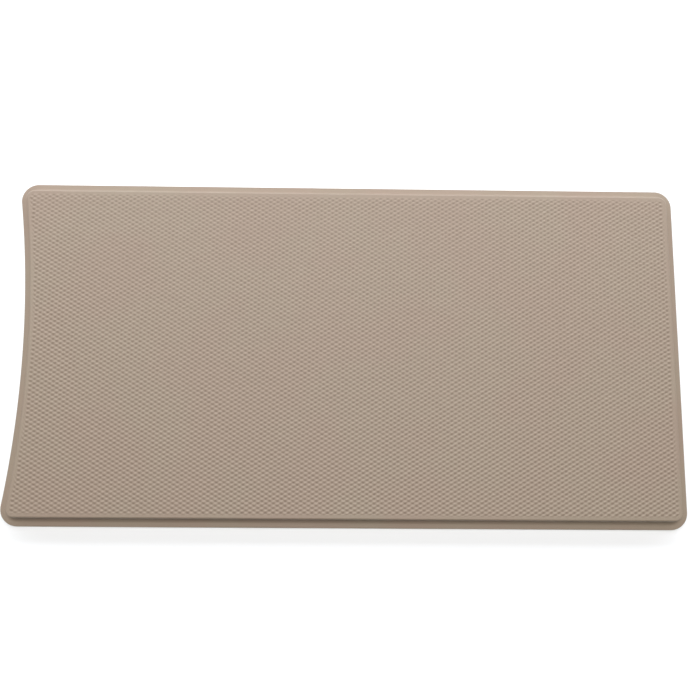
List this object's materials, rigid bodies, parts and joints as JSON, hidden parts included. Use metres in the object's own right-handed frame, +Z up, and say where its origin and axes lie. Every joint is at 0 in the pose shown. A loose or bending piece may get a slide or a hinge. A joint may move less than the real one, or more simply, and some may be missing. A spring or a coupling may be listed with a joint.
{
  "type": "anti-fatigue mat",
  "caption": "Cushioned rectangular standing mat with an embossed wear skin, low coved rim, layered foam core and non-slip base; its left end is slightly drawn in.",
  "frame": {"origin": "on the floor, under the middle of the mat's overall rectangle", "axes": "+X along the long side towards the straight short end, +Y across the mat, +Z up through the standing face"},
  "size_m": [0.991, 0.508, 0.019],
  "materials": {
    "skin": "matt embossed",
    "backing": "knitted",
    "soft_foam": "open-cell foam",
    "firm_foam": "closed-cell foam",
    "base": "matt, gripping"
  },
  "bodies": {
    "root": {"cover_skin": "skin", "cover_backing": "backing", "comfort_foam": "soft_foam", "support_foam": "firm_foam", "base_sheet": "base"}
  },
  "joints": []
}
